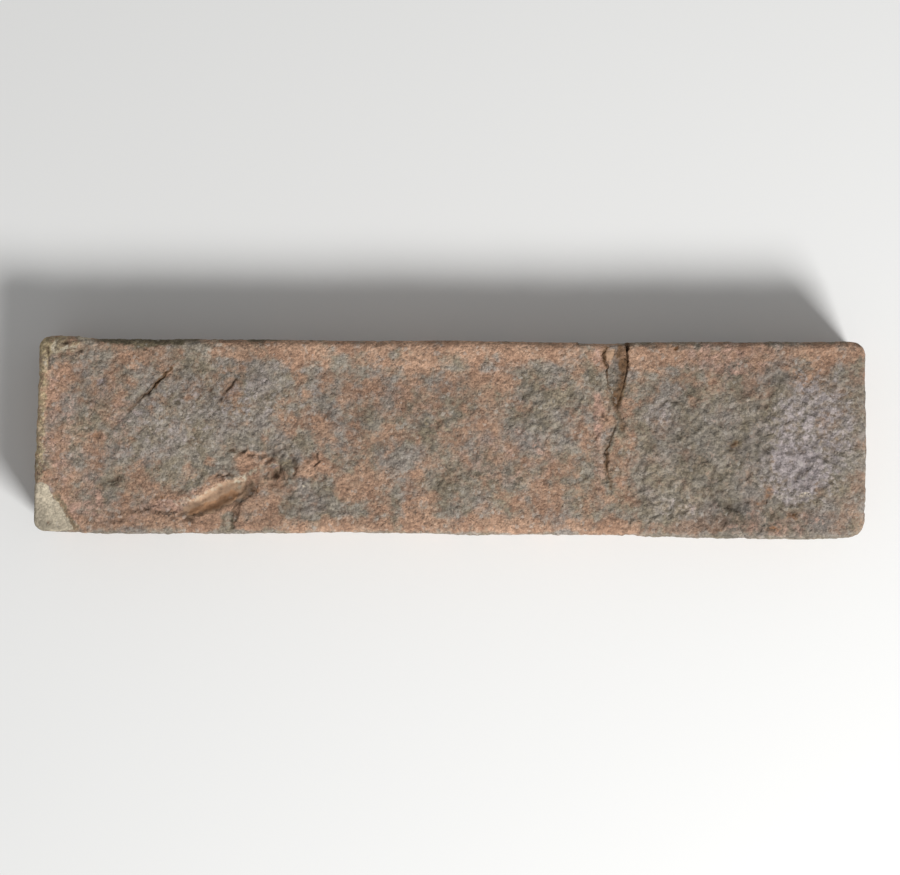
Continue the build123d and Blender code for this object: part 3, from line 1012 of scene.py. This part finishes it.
def ramp(tree, value, low, high, to_low=0.0, to_high=1.0):
    """Turns a value between two bounds into a smooth step between two others."""
    values = {0: value, 1: low, 2: high, 3: to_low, 4: to_high}
    return add(tree, "ShaderNodeMapRange", values, interpolation_type="SMOOTHSTEP").outputs[0]


def clouds(tree, place, size, detail=4.0, roughness=0.6):
    """A noise from 0 to 1 with features of this size in mm."""
    values = {"Vector": place, "Scale": 1 / (size * mm), "Detail": detail, "Roughness": roughness}
    return add(tree, "ShaderNodeTexNoise", values).outputs["Fac"]


def drift(tree, place, size, bounds, first, second, most=1.0):
    """The first colour drifting to the second one, in clouds of this size in mm."""
    share = ramp(tree, clouds(tree, place, size), *bounds, to_high=most)
    return mix_colours(tree, share, first, second)


def new_group(name, inputs, outputs):
    """A shader node group with these inputs and outputs, and its two end nodes."""
    group = bpy.data.node_groups.new(name, "ShaderNodeTree")
    for label, kind, default in inputs:
        socket = group.interface.new_socket(name=label, in_out="INPUT", socket_type=kind)
        if default is not None:
            socket.default_value = default
    for label, kind in outputs:
        group.interface.new_socket(name=label, in_out="OUTPUT", socket_type=kind)
    return group, add(group, "NodeGroupInput"), add(group, "NodeGroupOutput")


def sand_grain_group():
    """Sand grains of one size: a random shade and tint for each, and their rounded heights."""
    group, start, end = new_group(
        "sand_grains",
        [("Place", "NodeSocketVector", None), ("Size", "NodeSocketFloat", coarse_grain * mm)],
        [(name, "NodeSocketFloat") for name in ("Shade", "Tint", "Height")],
    )
    scale = calculate(group, "DIVIDE", 1.0, start.outputs["Size"])
    values = {"Vector": start.outputs["Place"], "Scale": scale}
    grains = add(group, "ShaderNodeTexVoronoi", values, feature="F1")
    parts = add(group, "ShaderNodeSeparateColor", {0: grains.outputs["Color"]})
    height = ramp(group, grains.outputs["Distance"], 0.05, 0.75, 1.0, 0.0)
    group.links.new(parts.outputs[0], end.inputs["Shade"])
    group.links.new(parts.outputs[1], end.inputs["Tint"])
    group.links.new(height, end.inputs["Height"])
    return group


def ragged_edge_group():
    """Breaks a smooth cover into a blotchy mask, with islands of the given size."""
    group, start, end = new_group(
        "ragged_edge",
        [
            ("Place", "NodeSocketVector", None),
            ("Cover", "NodeSocketFloat", 0.5),
            ("Size", "NodeSocketFloat", 5 * mm),
            ("Spread", "NodeSocketFloat", 1.6),
            ("Softness", "NodeSocketFloat", 0.2),
        ],
        [("Mask", "NodeSocketFloat")],
    )
    scale = calculate(group, "DIVIDE", 1.0, start.outputs["Size"])
    values = {"Vector": start.outputs["Place"], "Scale": scale, "Detail": 6.0, "Roughness": 0.68}
    cloud = add(group, "ShaderNodeTexNoise", values).outputs["Fac"]
    stray = calculate(group, "SUBTRACT", cloud, 0.5)
    stray = calculate(group, "MULTIPLY", stray, start.outputs["Spread"])
    level = calculate(group, "ADD", stray, start.outputs["Cover"])
    low = calculate(group, "SUBTRACT", 0.5, start.outputs["Softness"])
    high = calculate(group, "ADD", 0.5, start.outputs["Softness"])
    group.links.new(ramp(group, level, low, high), end.inputs["Mask"])
    return group


def new_finish(name):
    """A material with its shader and the object's own coordinates."""
    finish = bpy.data.materials.new(name)
    finish.use_nodes = True
    tree = finish.node_tree
    place = add(tree, "ShaderNodeTexCoord").outputs["Object"]
    shader = tree.nodes["Principled BSDF"]
    shader.inputs["Specular IOR Level"].default_value = clay_shine
    return finish, tree, shader, place


def add_bump(tree, shader, height, depth):
    """Lets the light fall on a surface as if it had these heights."""
    bump = add(tree, "ShaderNodeBump", {"Height": height, "Distance": depth, "Strength": 1.0})
    tree.links.new(bump.outputs[0], shader.inputs["Normal"])


def grain_layer(tree, grains, place, size):
    """One layer of sand grains of this size in mm."""
    layer = add(tree, "ShaderNodeGroup", {"Place": place, "Size": size * mm}, node_tree=grains)
    return layer.outputs["Shade"], layer.outputs["Tint"], layer.outputs["Height"]


def sanded_clay(grains, edges):
    """The moulded skin: orange clay under burnt moulding sand, with soot, bloom and bare drags, and painted
    light and shade on ridges, hollows, creases, rims and arrises.
    """
    finish, tree, shader, place = new_finish("sanded_fired_clay")
    shade, tint, dome = grain_layer(tree, grains, place, coarse_grain)
    fine_shade, fine_tint, fine_dome = grain_layer(tree, grains, place, fine_grain)
    colour = drift(tree, place, 7, (0.35, 0.65), clay_colour, deep_clay_colour)
    sand = drift(tree, place, 5, (0.42, 0.60), sand_colour, olive_sand_colour)
    sand = drift(tree, place, 8, (0.45, 0.65), sand, grey_sand_colour, most=0.7)
    nudge = ramp(tree, shade, 0.0, 1.0, -grain_nudge, grain_nudge)
    skin = 1.0
    ground = [("umber", umber_colour, 6.0, 1.2, 0.40), ("sand", sand, 2.4, 1.5, 0.44)]
    for name, over, size, spread, softness in ground + layers:
        cover = calculate(tree, "ADD", read(tree, name), nudge)
        values = {"Place": place, "Cover": cover, "Size": size * mm, "Spread": spread, "Softness": softness}
        mask = add(tree, "ShaderNodeGroup", values, node_tree=edges).outputs["Mask"]
        colour = mix_colours(tree, mask, colour, over)
        if name in smoothing:
            smoothed = calculate(tree, "MULTIPLY", mask, smoothing[name])
            skin = calculate(tree, "SUBTRACT", skin, smoothed, clamp=True)
    # The tone and painted light and shade multiply the colour
    tone_and_painted_light = calculate(tree, "MULTIPLY", read(tree, "tone_and_painted_light"), 2.0)
    colour = mix_colours(tree, 1.0, colour, tone_and_painted_light, "MULTIPLY")
    grain_light = ramp(tree, calculate(tree, "ADD", shade, fine_shade), 0.1, 1.9, *grain_shades)
    # Painted light on the ridges and painted shade in the hollows
    painted_ridge_light = ramp(tree, read(tree, "ridge_light_and_hollow_shade"), 0.1, 0.9, *painted_ridge_shades)
    light = calculate(tree, "MULTIPLY", grain_light, painted_ridge_light)
    colour = mix_colours(tree, skin, colour, mix_colours(tree, 1.0, colour, light, "MULTIPLY"))
    for tints, bounds, most, over in (
        (tint, (0.95, 0.99), 0.35, light_grain_colour),
        (fine_tint, (0.92, 0.98), 0.45, dark_grain_colour),
    ):
        grain = calculate(tree, "MULTIPLY", ramp(tree, tints, *bounds, to_high=most), skin)
        colour = mix_colours(tree, grain, colour, over)
    colour = mix_colours(tree, read(tree, "crack"), colour, crack_colour)
    # Dirt and painted shade in the creases and pits
    colour = mix_colours(tree, read(tree, "dirt"), colour, dirt_and_shade_colour)
    tree.links.new(colour, shader.inputs["Base Color"])
    roughness = ramp(tree, fine_shade, 0.0, 1.0, *sanded_roughness)
    tree.links.new(roughness, shader.inputs["Roughness"])
    pitted = clouds(tree, place, 1.3, 4, 0.68)
    height = add_up(tree, (dome, 0.60), (fine_dome, 0.35), (pitted, 3.3))
    add_bump(tree, shader, calculate(tree, "MULTIPLY", height, skin), sanded_bump)
    return finish


def sawn_clay(grains):
    """The sawn back: the plain body of the brick, with cut grit and the blade's shallow arcs."""
    finish, tree, shader, place = new_finish("sawn_fired_clay")
    colour = drift(tree, place, 14, (0.35, 0.65), core_colour, core_dark_colour)
    shade, tint, _ = grain_layer(tree, grains, place, cut_grain)
    colour = mix_colours(tree, ramp(tree, tint, 0.86, 0.92, to_high=0.6), colour, light_grain_colour)
    pores = ramp(tree, clouds(tree, place, 1.3, 3, 0.5), 0.66, 0.72)
    # Painted shade and dirt in the pores
    colour = mix_colours(tree, calculate(tree, "MULTIPLY", pores, 0.75), colour, dirt_and_shade_colour)
    light = ramp(tree, shade, 0.0, 1.0, *cut_grain_shades)
    colour = mix_colours(tree, 1.0, colour, light, "MULTIPLY")
    tree.links.new(colour, shader.inputs["Base Color"])
    shader.inputs["Roughness"].default_value = plain_roughness
    from_centre = {0: place, 1: blade_centre}
    centre = add(tree, "ShaderNodeVectorMath", from_centre, operation="SUBTRACT").outputs[0]
    values = {"Vector": centre, "Scale": blade_rings, "Distortion": 1.2, "Detail": 2.0, "Detail Scale": 1.0}
    arcs = add(tree, "ShaderNodeTexWave", values, wave_type="RINGS", rings_direction="Z")
    grit = clouds(tree, place, 0.5)
    height = add_up(tree, (arcs.outputs["Fac"], 0.5), (pores, -3.0), (grit, 1.0))
    add_bump(tree, shader, height, sawn_bump)
    return finish


def keep_mesh(bm, name, finishes):
    """Turns a bmesh into a mesh of this name with these finishes."""
    mesh = bpy.data.meshes.new(name)
    bm.to_mesh(mesh)
    bm.free()
    for finish in finishes:
        mesh.materials.append(finish)
    return mesh


def put_in_scene(name, data):
    """An object of this name for a mesh, a lamp or a camera."""
    placed = bpy.data.objects.new(name, data)
    bpy.context.scene.collection.objects.link(placed)
    return placed


def make_brick(finishes):
    """The dressed brick: the sheet pressed on, worked, closed at the back and painted."""
    bm = clay_sheet()
    outward = press_onto_solid(bm)
    work_the_skin(bm, outward)
    close_sawn_back(bm)
    mesh = keep_mesh(bm, "thin_brick_dressed", finishes)
    paint_clay(mesh)
    return put_in_scene("thin_brick_dressed", mesh)


def make_floor():
    """A plain pale floor, just under the brick."""
    bm = bmesh.new()
    bmesh.ops.create_grid(bm, x_segments=1, y_segments=1, size=floor_reach)
    bmesh.ops.translate(bm, vec=(0, 0, brick_low.z - floor_gap), verts=bm.verts)
    finish = bpy.data.materials.new("pale_floor")
    finish.use_nodes = True
    shader = finish.node_tree.nodes["Principled BSDF"]
    shader.inputs["Base Color"].default_value = floor_colour
    shader.inputs["Roughness"].default_value = plain_roughness
    return put_in_scene("floor", keep_mesh(bm, "floor", [finish]))


def light_studio():
    """One soft lamp low on the right of the brick's bottom side, and an even pale surround."""
    lamp = bpy.data.lights.new("soft_key", "AREA")
    lamp.shape = "SQUARE"
    lamp.size = lamp_size
    lamp.energy = lamp_power
    key = put_in_scene("soft_key", lamp)
    turn, rise = radians(lamp_turn), radians(lamp_rise)
    towards = Vector((cos(turn) * cos(rise), sin(turn) * cos(rise), sin(rise)))
    key.location = towards * lamp_distance
    key.rotation_euler = towards.to_track_quat("Z", "Y").to_euler()
    world = bpy.data.worlds.new("pale_surround")
    world.use_nodes = True
    surround = world.node_tree.nodes["Background"]
    surround.inputs["Color"].default_value = (1, 1, 1, 1)
    surround.inputs["Strength"].default_value = surround_strength
    bpy.context.scene.world = world


def set_camera():
    """A long lens straight above the middle, rolled a little as the brick lies in the wall."""
    camera = bpy.data.cameras.new("from_above")
    camera.lens = lens_length
    camera.sensor_width = sensor_width
    view_width = (brick_high.x - brick_low.x) / brick_share_of_view
    middle = (brick_low + brick_high) / 2
    holder = put_in_scene("from_above", camera)
    holder.location = (middle.x, middle.y, brick_high.z + view_width * lens_length / sensor_width)
    holder.rotation_euler = (0, 0, radians(camera_roll))
    bpy.context.scene.camera = holder


grains, edges = sand_grain_group(), ragged_edge_group()
brick = make_brick([sanded_clay(grains, edges), sawn_clay(grains)])
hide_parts("thin_brick")
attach(brick, "root")
make_floor()
light_studio()
set_camera()
bpy.context.scene.view_settings.view_transform = "Standard"
